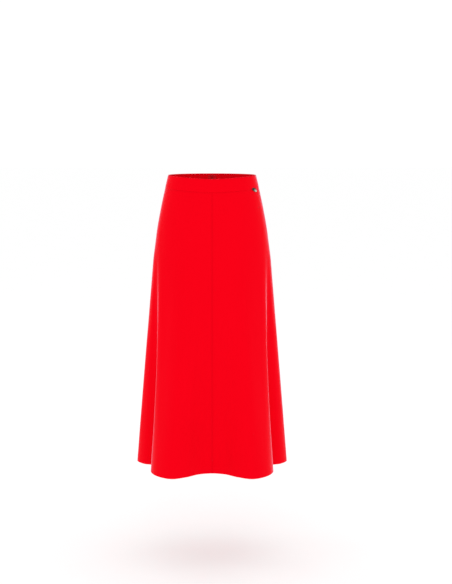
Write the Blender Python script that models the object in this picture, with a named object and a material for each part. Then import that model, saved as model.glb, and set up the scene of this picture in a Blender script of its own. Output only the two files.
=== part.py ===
"""Flared maxi skirt in red crepe: four gores, a shaped waistband, a concealed zip and a metal tag.

The skirt keeps the hollow form that it has when worn. Lengths are in metres and +Z is up. The front
faces -Y and the wearer's left is +X. The origin is the centre of the waist ring, half-way down the
waistband at the side seams.

Every cloth piece starts as a flat block, one unit a row and column, and is wrapped on one surface:
skirt_face(around, height) gives the skirt's outer face, where around runs from the centre front (0)
through the side seam to the centre back (1) and stays the same along a fold. The block's third side
becomes the depth into the cloth.
"""

import math
from typing import NamedTuple

import bmesh
import bpy
import numpy as np
from mathutils import Matrix, Vector


class Section(NamedTuple):
    """One level of the body of the skirt, from the waist to the hip: an oval, deeper behind."""

    height: float
    half_width: float
    front: float
    back: float


class Fold(NamedTuple):
    """One line down the skirt: where it starts on the hip and where it ends on the hem."""

    name: str
    hip_angle: float  # degrees round from the centre front
    hem_x: float
    hem_y: float
    hem_dip: float  # how far the hem hangs below its level there
    lateness: float  # 0 flares steadily, 1 keeps its flare for the lower part
    columns: int  # columns of faces from here to the next fold


# Cloth and seams
CLOTH = 0.0016
BAND_CLOTH = 0.0024
BAND_PROUD = 0.0004  # the waistband stands this much outside the gores
HEM_CLOTH = 0.0028  # the turned-up hem is two layers
SEAM_GAP = 0.0003
TURNING_STEP = 0.001  # height of the step where the hem turning starts

# Heights
BAND_HEIGHT = 0.040
BAND_TOP = BAND_HEIGHT / 2
FRONT_DIP = 0.0085  # the waistband's edges drop by this much at the centre front
FRONT_DIP_NARROWNESS = 4
HIP_HEIGHT = -0.240
FLARE_START = -0.170
FLARE_SOFTNESS = 0.06
HEM_HEIGHT = -0.8755
HEM_TURNING = 0.045

SECTIONS = (
    Section(height=0.020, half_width=0.1334, front=0.096, back=0.090),
    Section(height=-0.020, half_width=0.1431, front=0.102, back=0.098),
    Section(height=-0.090, half_width=0.1582, front=0.108, back=0.112),
    Section(height=-0.160, half_width=0.1704, front=0.112, back=0.123),
    Section(height=HIP_HEIGHT, half_width=0.1770, front=0.114, back=0.127),
)

FOLDS = (
    #    name            hip angle  hem x    hem y   dip   late  columns
    Fold("centre front", 0.0, 0.0000, -0.147, 0.000, 0.3, 4),
    Fold("front hollow", 15.0, 0.0370, -0.157, 0.000, 0.3, 3),
    Fold("front rise", 29.0, 0.0750, -0.186, 0.001, 0.4, 3),
    Fold("front lobe", 44.0, 0.1180, -0.204, 0.002, 0.5, 4),
    Fold("lobe corner", 61.0, 0.1680, -0.168, 0.002, 0.8, 4),
    Fold("front fold", 71.0, 0.1870, -0.120, 0.001, 0.6, 4),
    Fold("front valley", 78.0, 0.1680, -0.055, 0.000, 0.3, 4),
    Fold("flap front", 84.0, 0.2130, -0.031, 0.000, 0.0, 4),
    Fold("side seam", 91.0, 0.2350, 0.010, 0.000, -0.05, 4),
    Fold("flap back", 99.0, 0.2150, 0.052, 0.000, 0.0, 4),
    Fold("back valley", 105.0, 0.1680, 0.082, 0.000, 0.3, 4),
    Fold("back fold", 113.0, 0.1800, 0.140, 0.001, 0.6, 7),
    Fold("back lobe", 138.0, 0.1180, 0.198, 0.002, 0.4, 9),
    Fold("centre back", 180.0, 0.0000, 0.156, 0.000, 0.3, 0),
)
FOLD_NAMES = [fold.name for fold in FOLDS]
STEP = 1e-4  # the small move, around or up, that slopes are measured over

# Rows of faces
GORE_ROWS = 17
BAND_LEVELS = (0.0, 0.45, 0.70, 0.85, 1.0)  # from the waist seam up to the top edge
TAPE_ROWS = 15

# Zip, closed, with its slider just under the waistband's top edge
TAPE_TOP = 0.016
TAPE_BOTTOM = -0.185
TAPE_WIDTH = 0.012
TAPE_CLOTH = 0.0008
TAPE_HALF_GAP = 0.0010
TAPE_COLUMNS = 2
PARTING = 0.0010  # the waistband's ends open by this much each side around the slider's neck
PARTING_LOW = -0.002
PARTING_HIGH = 0.008
SLIDER_HEIGHT = 0.012
SLIDER_SIZE = (0.0064, 0.0090, 0.0020)  # across, down, deep
SLIDER_CLEARANCE = 0.0003
NECK_WIDTH = 0.0013
NECK_LENGTH = 0.0050
NECK_OUT = 0.0009
PIVOT_OUT = 0.0024  # the pull's axis, out from the gore's face
BAIL_RADIUS = 0.0015
BAIL_WIRE = 0.00045
BAIL_STEPS = 8
BAIL_SIDES = 8
PULL_LENGTH = 0.024
PULL_THICK = 0.0010
PULL_TOP_WIDTH = 0.0038
PULL_END_WIDTH = 0.0062
PULL_WINDOW = (0.0022, 0.0036)  # across, down
PULL_HOLE_RADIUS = 0.0009
PULL_ARC_STEPS = 12
METAL_EDGE = 0.0002

# Metal tag
TAG_X = 0.1285
TAG_HEIGHT = -0.0240
TAG_HALF_LENGTH = 0.0120
TAG_HALF_WIDTH = 0.0056
TAG_TURN = math.radians(-20)
TAG_RIM = 0.0008
TAG_RINGS = ((0.08, 0.0), (0.30, 0.0006), (0.40, 0.0003))  # inset as a share of the tag, rise
TAG_SIDES = 28

RED_CREPE = ("red_crepe", (0.90, 0.004, 0.012), 0.62, 0.0)
RED_TAPE = ("red_zip_tape", (0.70, 0.004, 0.012), 0.75, 0.0)
RED_LACQUER = ("red_zip_lacquer", (0.62, 0.006, 0.012), 0.35, 0.6)
OLD_SILVER = ("old_silver", (0.52, 0.46, 0.38), 0.32, 1.0)


def smooth_through(stations, values, at):
    """Values at the given stations on a smooth curve through a table's rows."""
    spans = np.diff(stations)
    slopes = np.diff(values, axis=0) / spans[:, None]
    tangents = np.empty_like(values)
    before, after = spans[:-1, None], spans[1:, None]
    tangents[1:-1] = (slopes[:-1] * after + slopes[1:] * before) / (before + after)
    tangents[0] = 1.5 * slopes[0] - 0.5 * tangents[1]
    tangents[-1] = 1.5 * slopes[-1] - 0.5 * tangents[-2]
    row = np.clip(np.searchsorted(stations, at) - 1, 0, len(spans) - 1)
    span = spans[row][:, None]
    t = (at - stations[row])[:, None] / span
    return (
        (2 * t**3 - 3 * t**2 + 1) * values[row]
        + (t**3 - 2 * t**2 + t) * span * tangents[row]
        + (3 * t**2 - 2 * t**3) * values[row + 1]
        + (t**3 - t**2) * span * tangents[row + 1]
    )


def fold_stations():
    """Each fold's place around the half hem: 0 at the centre front, 1 at the centre back."""
    hem = np.array([(fold.hem_x, fold.hem_y) for fold in FOLDS])
    lengths = np.linalg.norm(np.diff(hem, axis=0), axis=1)
    return np.concatenate([[0.0], np.cumsum(lengths)]) / lengths.sum()


STATIONS = fold_stations()


def fold_values(around):
    """Hip angle in radians, hem x, hem y, dip and lateness at these places around the skirt.

    Places below 0 or above 1 are the same places on the wearer's right.
    """
    table = np.array(
        [(math.radians(f.hip_angle), f.hem_x, f.hem_y, f.hem_dip, f.lateness) for f in FOLDS]
    )
    before_front = table[[2, 1]] * (-1, -1, 1, 1, 1)
    past_back = table[[-2, -3]] * (-1, -1, 1, 1, 1) + (math.tau, 0, 0, 0, 0)
    values = np.concatenate([before_front, table, past_back])
    stations = np.concatenate([-STATIONS[[2, 1]], STATIONS, 2 - STATIONS[[-2, -3]]])
    half = 1 - np.abs(1 - np.abs(around))
    hand = np.where((around < 0) | (around > 1), -1, 1)
    found = smooth_through(stations, values, half)
    found[:, :2] *= hand[:, None]
    return found


def skirt_face(around, height):
    """Points on the outer face of the wearer's left half, as an array of x, y, z rows."""
    angle, hem_x, hem_y, _, lateness = fold_values(around).T
    sections = np.array(SECTIONS)[::-1]
    level = np.clip(height, HIP_HEIGHT, BAND_TOP)
    half_width, front, back = smooth_through(sections[:, 0], sections[:, 1:], level).T
    depth = np.where(np.cos(angle) > 0, front, back)
    radius = 1 / np.hypot(np.sin(angle) / half_width, np.cos(angle) / depth)
    fall = np.clip((FLARE_START - height) / (FLARE_START - HEM_HEIGHT), 0, None)
    flare = (1 + FLARE_SOFTNESS) * fall**2 / (fall + FLARE_SOFTNESS)
    flare = flare * (1 - lateness) + flare**2 * lateness
    x = radius * np.sin(angle) * (1 - flare) + hem_x * flare
    y = -radius * np.cos(angle) * (1 - flare) + hem_y * flare
    return np.stack([x, y, height], axis=1)


def unit(vectors):
    """Vectors scaled to length 1."""
    return vectors / np.linalg.norm(vectors, axis=1, keepdims=True)


def cloth_run(around, height):
    """How far the cloth runs at this height for each unit of around."""
    ends = skirt_face(around + STEP, height) - skirt_face(around - STEP, height)
    return np.linalg.norm(ends, axis=1) / (2 * STEP)


def skirt_axes(around, height):
    """Unit vectors along the cloth towards the centre back, and out of its face."""
    along = skirt_face(around + STEP, height) - skirt_face(around - STEP, height)
    up = skirt_face(around, height + STEP) - skirt_face(around, height - STEP)
    return unit(along), unit(np.cross(along, up))


def front_dip(around):
    """How far the waistband's edges drop here below their height at the side seams."""
    angle = fold_values(around)[:, 0]
    return FRONT_DIP * ((1 + np.cos(angle)) / 2) ** FRONT_DIP_NARROWNESS


def columns_between(first, last, every=1):
    """Places around the skirt for a piece's columns, from one named fold to another."""
    start, end = FOLD_NAMES.index(first), FOLD_NAMES.index(last)
    places = [STATIONS[start]]
    for index in range(start, end):
        steps = FOLDS[index].columns
        places.extend(np.linspace(STATIONS[index], STATIONS[index + 1], steps + 1)[1:])
    return np.array(places[::every])


def material(finish):
    """The material of this name, colour, roughness and metallic value, made once."""
    name, colour, roughness, metallic = finish
    found = bpy.data.materials.get(name)
    if found:
        return found
    made = bpy.data.materials.new(name)
    made.use_nodes = True
    shader = made.node_tree.nodes["Principled BSDF"]
    shader.inputs["Base Color"].default_value = (*colour, 1.0)
    shader.inputs["Roughness"].default_value = roughness
    shader.inputs["Metallic"].default_value = metallic
    return made


def face_outwards(bm):
    """Turns a closed mesh's faces outwards, also on a thin curved wall."""
    bmesh.ops.recalc_face_normals(bm, faces=bm.faces)
    if bm.calc_volume(signed=True) < 0:
        bmesh.ops.reverse_faces(bm, faces=bm.faces)


def add_object(name, bm, finish, parent):
    """An object that holds this bmesh, shaded smooth but for its real edges."""
    face_outwards(bm)
    mesh = bpy.data.meshes.new(name)
    bm.to_mesh(mesh)
    bm.free()
    mesh.shade_smooth()
    mesh.set_sharp_from_angle(angle=math.radians(40))
    mesh.materials.append(material(finish))
    obj = bpy.data.objects.new(name, mesh)
    bpy.context.scene.collection.objects.link(obj)
    obj.parent = parent
    return obj


def push_out(bm, faces, way):
    """Extrudes faces by a vector, drops what they leave inside a solid, and returns the new ends."""
    around = {other for face in faces for edge in face.edges for other in edge.link_faces}
    inner = faces if around - set(faces) else []
    made = bmesh.ops.extrude_face_region(bm, geom=faces)["geom"]
    corners = [item for item in made if isinstance(item, bmesh.types.BMVert)]
    bmesh.ops.translate(bm, verts=corners, vec=way)
    bmesh.ops.delete(bm, geom=inner, context="FACES_ONLY")
    return [item for item in made if isinstance(item, bmesh.types.BMFace)]


def cloth_block(columns, rows):
    """A flat block of cloth: x counts its columns, y its rows, and z is 0 inside and 1 outside."""
    bm = bmesh.new()
    bmesh.ops.create_grid(bm, x_segments=columns, y_segments=rows, size=0.5)
    bmesh.ops.translate(bm, verts=bm.verts, vec=(0.5, 0.5, 0.0))
    bmesh.ops.scale(bm, verts=bm.verts, vec=(columns, rows, 1.0))
    push_out(bm, bm.faces[:], (0.0, 0.0, 1.0))
    return bm


def wrap(bm, places, heights, faces, shifts, side):
    """Wraps a cloth block on the skirt.

    places: each column's place around the skirt.
    heights: a function of the place array that gives each row's height there.
    faces: depth inwards of the inside and of the outside at each row, one pair a row.
    shifts: a function of (column share, height) that gives how far points move along the cloth.
    side: 1 for the wearer's left, -1 for the right.
    """
    cells = np.array([v.co for v in bm.verts])
    column, row, layer = np.rint(cells).astype(int).T
    around = places[column]
    height = heights(around, row)
    share = column / (len(places) - 1)
    around = around + shifts(share, height) / cloth_run(around, height)
    depth = np.array(faces)[row, layer]
    _, out = skirt_axes(around, height)
    points = skirt_face(around, height) - out * depth[:, None]
    points[:, 0] *= side
    for vertex, point in zip(bm.verts, points):
        vertex.co = point


def seam_shift(share, height):
    """Draws a piece's two ends in by half a seam's gap each."""
    return SEAM_GAP / 2 * (1 - 2 * share)


def band_parting(height):
    """How far each end of the waistband stands from the centre back beside the slider's neck."""
    t = np.clip((height - PARTING_LOW) / (PARTING_HIGH - PARTING_LOW), 0, 1)
    return (PARTING - SEAM_GAP / 2) * t * t * (3 - 2 * t)


def gore(name, first, last, side, parent):
    """One gore, from the waist seam to the hem, with the hem turned up inside."""
    places = columns_between(first, last)
    turning = HEM_TURNING / (BAND_TOP - BAND_HEIGHT - HEM_HEIGHT)
    levels = np.append(np.linspace(0, 1 - turning, GORE_ROWS), [0, 1])
    levels[-2] = levels[-3] + TURNING_STEP / (BAND_TOP - BAND_HEIGHT - HEM_HEIGHT)
    thickness = np.array([CLOTH] * GORE_ROWS + [HEM_CLOTH] * 2)

    def heights(around, row):
        top = BAND_TOP - BAND_HEIGHT - front_dip(around) - SEAM_GAP / 2
        bottom = HEM_HEIGHT - fold_values(around)[:, 3]
        return top + (bottom - top) * levels[row]

    bm = cloth_block(len(places) - 1, len(levels) - 1)
    faces = [(thick, 0.0) for thick in thickness]
    wrap(bm, places, heights, faces, seam_shift, side)
    return add_object(name, bm, RED_CREPE, parent)


def band_heights(around, row):
    """Heights of the waistband's rows, from the waist seam up to its top edge."""
    bottom = BAND_TOP - BAND_HEIGHT - front_dip(around) + SEAM_GAP / 2
    top = BAND_TOP - front_dip(around)
    return bottom + (top - bottom) * np.array(BAND_LEVELS)[row]


def waistband_front(parent):
    """The front waistband, one piece from side seam to side seam."""
    left = columns_between("centre front", "side seam", every=2)
    places = np.concatenate([-left[:0:-1], left])
    bm = cloth_block(len(places) - 1, len(BAND_LEVELS) - 1)
    faces = [(BAND_CLOTH - BAND_PROUD, -BAND_PROUD)] * len(BAND_LEVELS)
    wrap(bm, places, band_heights, faces, seam_shift, 1)
    return add_object("waistband_front", bm, RED_CREPE, parent)


def waistband_back(name, side, parent):
    """Half of the back waistband, whose end parts a little beside the zip's slider."""
    places = columns_between("side seam", "centre back", every=2)

    def shifts(share, height):
        return seam_shift(share, height) - band_parting(height) * share**8

    bm = cloth_block(len(places) - 1, len(BAND_LEVELS) - 1)
    faces = [(BAND_CLOTH - BAND_PROUD, -BAND_PROUD)] * len(BAND_LEVELS)
    wrap(bm, places, band_heights, faces, shifts, side)
    return add_object(name, bm, RED_CREPE, parent)


def zip_tape(name, side, parent):
    """One zip tape, laid on the inside of the waistband and the gore beside the centre back."""
    places = np.ones(TAPE_COLUMNS + 1)
    levels = np.linspace(TAPE_TOP, TAPE_BOTTOM, TAPE_ROWS + 1)
    face = BAND_CLOTH - BAND_PROUD + SEAM_GAP

    def heights(around, row):
        return levels[row]

    def shifts(share, height):
        return -TAPE_HALF_GAP - TAPE_WIDTH * (1 - share)

    bm = cloth_block(TAPE_COLUMNS, TAPE_ROWS)
    faces = [(face + TAPE_CLOTH, face)] * len(levels)
    wrap(bm, places, heights, faces, shifts, side)
    return add_object(name, bm, RED_TAPE, parent)


def back_frame(out):
    """A matrix on the centre back at the slider: x across the cloth, y up it and z out of its face."""
    place, height = np.array([1.0]), np.array([SLIDER_HEIGHT])
    along, outward = skirt_axes(place, height)
    across, normal = Vector(along[0]), Vector(outward[0])
    origin = Vector(skirt_face(place, height)[0]) + normal * out
    axes = Matrix((across, normal.cross(across), normal)).transposed().to_4x4()
    return Matrix.Translation(origin) @ axes


def block(name, size, centre, finish, parent):
    """A box with slightly eased edges, given by its size and centre."""
    bm = bmesh.new()
    bmesh.ops.create_cube(bm, size=1.0)
    bmesh.ops.scale(bm, verts=bm.verts, vec=size)
    bmesh.ops.translate(bm, verts=bm.verts, vec=centre)
    bmesh.ops.bevel(
        bm, geom=bm.edges[:], offset=METAL_EDGE, segments=1, profile=0.5, affect="EDGES", material=-1
    )
    return add_object(name, bm, finish, parent)


def helper(obj):
    """Marks an object as a tool of a Boolean, which isn't part of the skirt."""
    obj.hide_render = True
    obj.display_type = "WIRE"
    return obj


def combine(obj, tool, operation):
    """Adds a Boolean modifier that joins the tool to the object or cuts it out."""
    modifier = obj.modifiers.new(f"{operation.lower()} {tool.name}", "BOOLEAN")
    modifier.operation = operation
    modifier.solver = "EXACT"
    modifier.object = helper(tool)


def bail(parent):
    """The slider's wire arch over the pull's bar: a half ring on two short legs."""
    leg = PIVOT_OUT - NECK_OUT + METAL_EDGE * 2
    foot = Matrix.Translation((0, BAIL_RADIUS, PIVOT_OUT - leg))
    bm = bmesh.new()
    bmesh.ops.create_circle(bm, cap_ends=True, segments=BAIL_SIDES, radius=BAIL_WIRE, matrix=foot)
    shoulder = push_out(bm, bm.faces[:], (0, 0, leg))
    arch = bmesh.ops.spin(
        bm,
        geom=shoulder,
        cent=(0, 0, PIVOT_OUT),
        axis=(1, 0, 0),
        angle=math.pi,
        steps=BAIL_STEPS,
    )["geom_last"]
    bmesh.ops.delete(bm, geom=shoulder, context="FACES_ONLY")
    push_out(bm, [item for item in arch if isinstance(item, bmesh.types.BMFace)], (0, 0, -leg))
    return add_object("bail", bm, RED_LACQUER, parent)


def zip_slider(parent):
    """The slider: its body inside the tapes, a neck between them and the bail outside."""
    across, down, deep = SLIDER_SIZE
    inside = BAND_CLOTH - BAND_PROUD + SEAM_GAP + TAPE_CLOTH + SLIDER_CLEARANCE
    slider = block("zip_slider", SLIDER_SIZE, (0, 0, -inside - deep / 2), RED_LACQUER, parent)
    neck_deep = inside + METAL_EDGE * 4 + NECK_OUT
    neck_size = (NECK_WIDTH, NECK_LENGTH, neck_deep)
    neck = block("neck", neck_size, (0, 0, NECK_OUT - neck_deep / 2), RED_LACQUER, parent)
    combine(slider, neck, "UNION")
    combine(slider, bail(parent), "UNION")
    return slider


def zip_pull(pivot):
    """The pull tab, hanging from its bar along the cloth. Its origin is on the bar's axis."""
    end_radius = PULL_END_WIDTH / 2
    top = PULL_THICK / 2
    end_centre = -(PULL_LENGTH - end_radius)
    bm = bmesh.new()
    corners = [(-PULL_TOP_WIDTH / 2, top), (PULL_TOP_WIDTH / 2, top)]
    for step in range(PULL_ARC_STEPS + 1):
        turn = math.pi * step / PULL_ARC_STEPS
        corners.append((end_radius * math.cos(turn), end_centre - end_radius * math.sin(turn)))
    bm.faces.new([bm.verts.new((x, y, -PULL_THICK / 2)) for x, y in corners])
    push_out(bm, bm.faces[:], (0, 0, PULL_THICK))
    face_outwards(bm)
    bmesh.ops.bevel(
        bm, geom=bm.edges[:], offset=METAL_EDGE, segments=1, profile=0.5, affect="EDGES", material=-1
    )
    pull = add_object("zip_pull", bm, RED_LACQUER, pivot)
    window_size = (*PULL_WINDOW, PULL_THICK * 3)
    window_centre = (0, -PULL_THICK / 2 - PULL_WINDOW[1] / 2, 0)
    combine(pull, block("window", window_size, window_centre, RED_LACQUER, pivot), "DIFFERENCE")
    hole = bmesh.new()
    bmesh.ops.create_cone(
        hole,
        cap_ends=True,
        segments=PULL_ARC_STEPS,
        radius1=PULL_HOLE_RADIUS,
        radius2=PULL_HOLE_RADIUS,
        depth=PULL_THICK * 3,
        matrix=Matrix.Translation((0, end_centre, 0)),
    )
    combine(pull, add_object("hole", hole, RED_LACQUER, pivot), "DIFFERENCE")
    return pull


def place_around(x, height):
    """The place around the front of the skirt whose face has this x at this height."""
    places = np.linspace(0, STATIONS[FOLD_NAMES.index("side seam")], 1001)
    return np.interp(x, skirt_face(places, np.full_like(places, height))[:, 0], places)


def metal_tag(parent):
    """A plain oval metal tag with a domed face, bent to the skirt over its waist seam."""
    bm = bmesh.new()
    bmesh.ops.create_circle(bm, cap_ends=True, segments=TAG_SIDES, radius=1.0)
    top = push_out(bm, bm.faces[:], (0, 0, TAG_RIM))
    face_outwards(bm)
    for inset, rise in TAG_RINGS:
        bmesh.ops.inset_region(bm, faces=top, thickness=inset, use_even_offset=True)
        raised = list({vertex for face in top for vertex in face.verts})
        bmesh.ops.translate(bm, verts=raised, vec=(0, 0, rise))
    bmesh.ops.scale(bm, verts=bm.verts, vec=(TAG_HALF_LENGTH, TAG_HALF_WIDTH, 1.0))
    bmesh.ops.rotate(bm, verts=bm.verts, matrix=Matrix.Rotation(TAG_TURN, 3, "Z"))
    along, up, rise = np.array([vertex.co for vertex in bm.verts]).T
    height = TAG_HEIGHT + up
    around = np.full_like(height, place_around(TAG_X, TAG_HEIGHT))
    around += along / cloth_run(around, height)
    _, out = skirt_axes(around, height)
    points = skirt_face(around, height) + out * (BAND_PROUD + SEAM_GAP + rise)[:, None]
    for vertex, point in zip(bm.verts, points):
        vertex.co = point
    return add_object("metal_tag", bm, OLD_SILVER, parent)


def empty(name, matrix):
    """An empty at this place, to carry pieces."""
    obj = bpy.data.objects.new(name, None)
    bpy.context.scene.collection.objects.link(obj)
    obj.matrix_world = matrix
    return obj


def build():
    """Clears the scene and models the skirt."""
    for obj in list(bpy.data.objects):
        bpy.data.objects.remove(obj, do_unlink=True)
    skirt = empty("skirt", Matrix.Identity(4))
    for side, hand in ((1, "left"), (-1, "right")):
        gore(f"front_{hand}_panel", "centre front", "side seam", side, skirt)
        gore(f"back_{hand}_panel", "side seam", "centre back", side, skirt)
        waistband_back(f"waistband_back_{hand}", side, skirt)
        zip_tape(f"zip_tape_{hand}", side, skirt)
    waistband_front(skirt)
    zip_slider(empty("slider seat", back_frame(0.0)))
    zip_pull(empty("pull pivot", back_frame(PIVOT_OUT)))
    metal_tag(skirt)


build()
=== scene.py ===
"""The looks of a flared maxi skirt in red crepe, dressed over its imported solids.

Lengths are in metres and +Z is up, in the same frame as the solids: the origin is the centre of the
waist ring, the front faces -Y and the wearer's left is +X. Every cloth piece starts as a flat block,
one unit a row and column, and is wrapped on one surface, SkirtForm.face(around, height), where around
runs from the centre front (0) through the side seam to the centre back (1) and is negative on the
wearer's right.
"""

import logging
import math
from dataclasses import dataclass, field
from enum import Enum
from typing import NamedTuple, Optional, Sequence, Union

import bmesh
import bpy
import numpy as np
from mathutils import Matrix, Vector

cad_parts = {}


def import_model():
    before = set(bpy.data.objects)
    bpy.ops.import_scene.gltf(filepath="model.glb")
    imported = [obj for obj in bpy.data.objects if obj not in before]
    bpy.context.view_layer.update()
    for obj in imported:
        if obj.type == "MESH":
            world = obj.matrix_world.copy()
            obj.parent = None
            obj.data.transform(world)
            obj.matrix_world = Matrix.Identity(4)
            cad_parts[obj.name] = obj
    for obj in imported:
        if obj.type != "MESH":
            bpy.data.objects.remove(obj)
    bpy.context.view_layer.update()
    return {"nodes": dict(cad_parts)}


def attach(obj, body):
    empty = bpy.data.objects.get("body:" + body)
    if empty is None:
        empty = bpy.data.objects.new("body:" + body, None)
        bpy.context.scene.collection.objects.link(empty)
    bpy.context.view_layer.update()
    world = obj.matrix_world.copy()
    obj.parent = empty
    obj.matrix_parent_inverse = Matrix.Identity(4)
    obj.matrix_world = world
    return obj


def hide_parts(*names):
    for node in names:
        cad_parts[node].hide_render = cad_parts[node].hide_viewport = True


log = logging.getLogger("skirt")

Array = np.ndarray
Colour = tuple[float, float, float]
Number = Union[float, "Value"]


# ---- sizes


class Section(NamedTuple):
    """One level of the skirt from the waist to the hip: an oval with its own depth before and behind."""

    height: float
    half_width: float
    front: float
    back: float


class Fold(NamedTuple):
    """One line down the skirt: where it starts on the hip and where it ends on the hem."""

    name: str
    hip_angle: float  # degrees round from the centre front
    hem_x: float
    hem_y: float
    hem_dip: float  # how far the hem hangs below its level there
    lateness: float  # 0 flares steadily, 1 keeps its flare for the lower part


class Crease(NamedTuple):
    """One soft ridge (depth above 0) or trough (below 0) that runs along the cloth."""

    around: float  # at the middle of its length
    top: float
    bottom: float
    lean: float  # how far round it drifts from its top to its bottom
    width: float
    depth: float


class Side(Enum):
    """A hand of the wearer, with the sign that its x has."""

    LEFT = 1
    RIGHT = -1

    @property
    def word(self) -> str:
        """The hand as it is written in piece names."""
        return self.name.lower()


CLOTH = 0.0016
BAND_CLOTH = 0.0024
BAND_PROUD = 0.0004
HEM_CLOTH = 0.0028
SEAM_GAP = 0.0003
SEAM_TOUCH = 0.000002  # the cloth's own edges meet as closely as this
BAND_HEIGHT = 0.040
BAND_TOP = BAND_HEIGHT / 2
FRONT_DIP = 0.0085
FRONT_DIP_NARROWNESS = 4
HIP_HEIGHT = -0.240
FLARE_START = -0.170
FLARE_SOFTNESS = 0.06
HEM_HEIGHT = -0.8755
HEM_TURNING = 0.045

SECTIONS = (
    Section(height=0.020, half_width=0.1334, front=0.096, back=0.090),
    Section(height=-0.020, half_width=0.1431, front=0.102, back=0.098),
    Section(height=-0.090, half_width=0.1582, front=0.108, back=0.112),
    Section(height=-0.160, half_width=0.1704, front=0.112, back=0.123),
    Section(height=HIP_HEIGHT, half_width=0.1770, front=0.114, back=0.127),
)

FOLDS = (
    #    name            hip angle  hem x    hem y   dip   late
    Fold("centre front", 0.0, 0.0000, -0.147, 0.000, 0.3),
    Fold("front hollow", 15.0, 0.0370, -0.157, 0.000, 0.3),
    Fold("front rise", 29.0, 0.0750, -0.186, 0.001, 0.4),
    Fold("front lobe", 44.0, 0.1180, -0.204, 0.002, 0.5),
    Fold("lobe corner", 61.0, 0.1680, -0.168, 0.002, 0.8),
    Fold("front fold", 71.0, 0.1870, -0.120, 0.001, 0.6),
    Fold("front valley", 78.0, 0.1680, -0.055, 0.000, 0.3),
    Fold("flap front", 84.0, 0.2130, -0.031, 0.000, 0.0),
    Fold("side seam", 91.0, 0.2350, 0.010, 0.000, -0.05),
    Fold("flap back", 99.0, 0.2150, 0.052, 0.000, 0.0),
    Fold("back valley", 105.0, 0.1680, 0.082, 0.000, 0.3),
    Fold("back fold", 113.0, 0.1800, 0.140, 0.001, 0.6),
    Fold("back lobe", 138.0, 0.1180, 0.198, 0.002, 0.4),
    Fold("centre back", 180.0, 0.0000, 0.156, 0.000, 0.3),
)

CREASES = {
    # name: around, top, bottom, lean, width, depth
    "left thigh break": Crease(0.240, -0.300, -0.620, 0.030, 0.020, 0.0012),
    "left lobe trough": Crease(0.150, -0.430, -0.800, -0.012, 0.017, -0.0011),
    "left hollow ridge": Crease(0.060, -0.520, -0.860, 0.010, 0.014, 0.0008),
    "left hip drag": Crease(0.360, -0.060, -0.230, -0.060, 0.013, 0.0005),
    "left hip slack": Crease(0.300, -0.130, -0.330, -0.040, 0.018, -0.0006),
    "left flap ridge": Crease(0.490, -0.380, -0.790, 0.006, 0.012, 0.0010),
    "left fold side": Crease(0.355, -0.450, -0.850, 0.004, 0.012, -0.0010),
    "right thigh break": Crease(-0.225, -0.330, -0.660, -0.024, 0.022, 0.0011),
    "right lobe trough": Crease(-0.135, -0.400, -0.760, 0.014, 0.016, -0.0010),
    "right hollow ridge": Crease(-0.045, -0.600, -0.868, -0.008, 0.013, 0.0007),
    "right hip drag": Crease(-0.380, -0.075, -0.260, 0.050, 0.014, 0.0006),
    "right hip slack": Crease(-0.310, -0.110, -0.300, 0.046, 0.016, -0.0005),
    "right flap ridge": Crease(-0.500, -0.420, -0.830, -0.005, 0.012, 0.0009),
    "right fold side": Crease(-0.360, -0.500, -0.860, -0.004, 0.013, -0.0009),
    "left seat slack": Crease(0.800, -0.140, -0.360, 0.060, 0.018, -0.0007),
    "left back flute": Crease(0.780, -0.380, -0.820, 0.016, 0.016, 0.0012),
    "left back trough": Crease(0.900, -0.460, -0.850, -0.014, 0.018, -0.0011),
    "left back flap": Crease(0.560, -0.350, -0.740, 0.006, 0.013, -0.0009),
    "right seat slack": Crease(-0.820, -0.120, -0.330, -0.056, 0.017, -0.0006),
    "right back flute": Crease(-0.790, -0.420, -0.860, -0.012, 0.017, 0.0011),
    "right back trough": Crease(-0.915, -0.400, -0.790, 0.012, 0.016, -0.0010),
    "right back flap": Crease(-0.565, -0.400, -0.800, -0.006, 0.012, -0.0008),
}


def smooth_through(stations: Array, values: Array, at: Array) -> Array:
    """Reads a smooth curve through a table's rows.

    Args:
        stations: where each row stands, rising.
        values: the table, one row a station.
        at: where the curve is read.

    Returns:
        One row of values for each place in at.
    """
    spans = np.diff(stations)
    slopes = np.diff(values, axis=0) / spans[:, None]
    tangents = np.empty_like(values)
    before, after = spans[:-1, None], spans[1:, None]
    tangents[1:-1] = (slopes[:-1] * after + slopes[1:] * before) / (before + after)
    tangents[0] = 1.5 * slopes[0] - 0.5 * tangents[1]
    tangents[-1] = 1.5 * slopes[-1] - 0.5 * tangents[-2]
    row = np.clip(np.searchsorted(stations, at) - 1, 0, len(spans) - 1)
    span = spans[row][:, None]
    t = (at - stations[row])[:, None] / span
    return (
        (2 * t**3 - 3 * t**2 + 1) * values[row]
        + (t**3 - 2 * t**2 + t) * span * tangents[row]
        + (3 * t**2 - 2 * t**3) * values[row + 1]
        + (t**3 - t**2) * span * tangents[row + 1]
    )


def ease(value: Array, low: float, high: float) -> Array:
    """A smooth step from 0 at low to 1 at high."""
    t = np.clip((value - low) / (high - low), 0, 1)
    return t * t * (3 - 2 * t)


def unit(vectors: Array) -> Array:
    """Vectors scaled to length 1."""
    return vectors / np.linalg.norm(vectors, axis=1, keepdims=True)


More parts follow.
